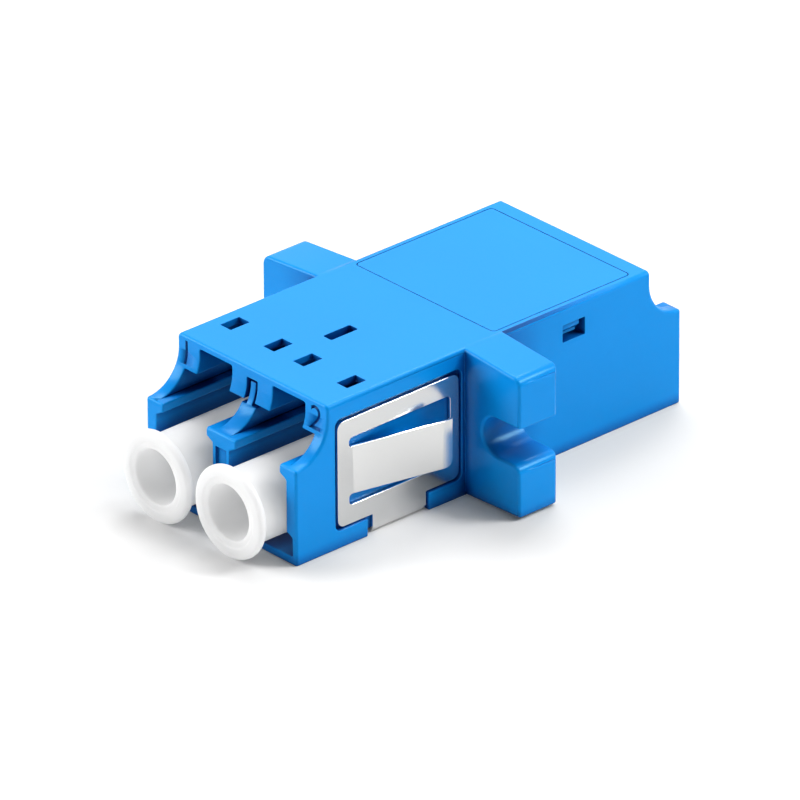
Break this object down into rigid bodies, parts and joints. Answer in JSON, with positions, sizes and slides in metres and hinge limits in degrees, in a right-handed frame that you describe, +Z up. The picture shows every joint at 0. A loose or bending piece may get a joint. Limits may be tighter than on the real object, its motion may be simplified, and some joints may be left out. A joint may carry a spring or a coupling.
{
  "type": "lc fibre adapter",
  "caption": "Flanged fibre coupling adapter with side-by-side latching ports, a folded spring clip for panel mounting, slit alignment sleeves and pull-out dust plugs.",
  "frame": {"origin": "in the plane of the flange's panel face, midway between the ports, on the housing's flat underside", "axes": "+X across the ports, +Y along the ports from the plugged front to the open rear, +Z up to the latch side"},
  "size_m": [0.022, 0.0325, 0.0094],
  "materials": {
    "blue_plastic": "smooth satin moulded plastic, sky blue",
    "white_plug": "soft waxy white plastic",
    "clip_steel": "satin rolled stainless spring sheet",
    "zirconia": "polished white ceramic"
  },
  "bodies": {
    "adapter": {"housing": "blue_plastic", "rear_cover": "blue_plastic", "sleeve_holder_front": "blue_plastic", "sleeve_holder_rear": "blue_plastic", "split_sleeve_left": "zirconia", "split_sleeve_right": "zirconia", "panel_clip": "clip_steel"},
    "left_plug": {"dust_plug_left": "white_plug"},
    "right_plug": {"dust_plug_right": "white_plug"}
  },
  "joints": [
    {"name": "left_plug_pull", "type": "slide", "parent": "adapter", "child": "left_plug", "axis": [0, -1, 0], "range_m": [0, 0.015]},
    {"name": "right_plug_pull", "type": "slide", "parent": "adapter", "child": "right_plug", "axis": [0, -1, 0], "range_m": [0, 0.015]}
  ]
}
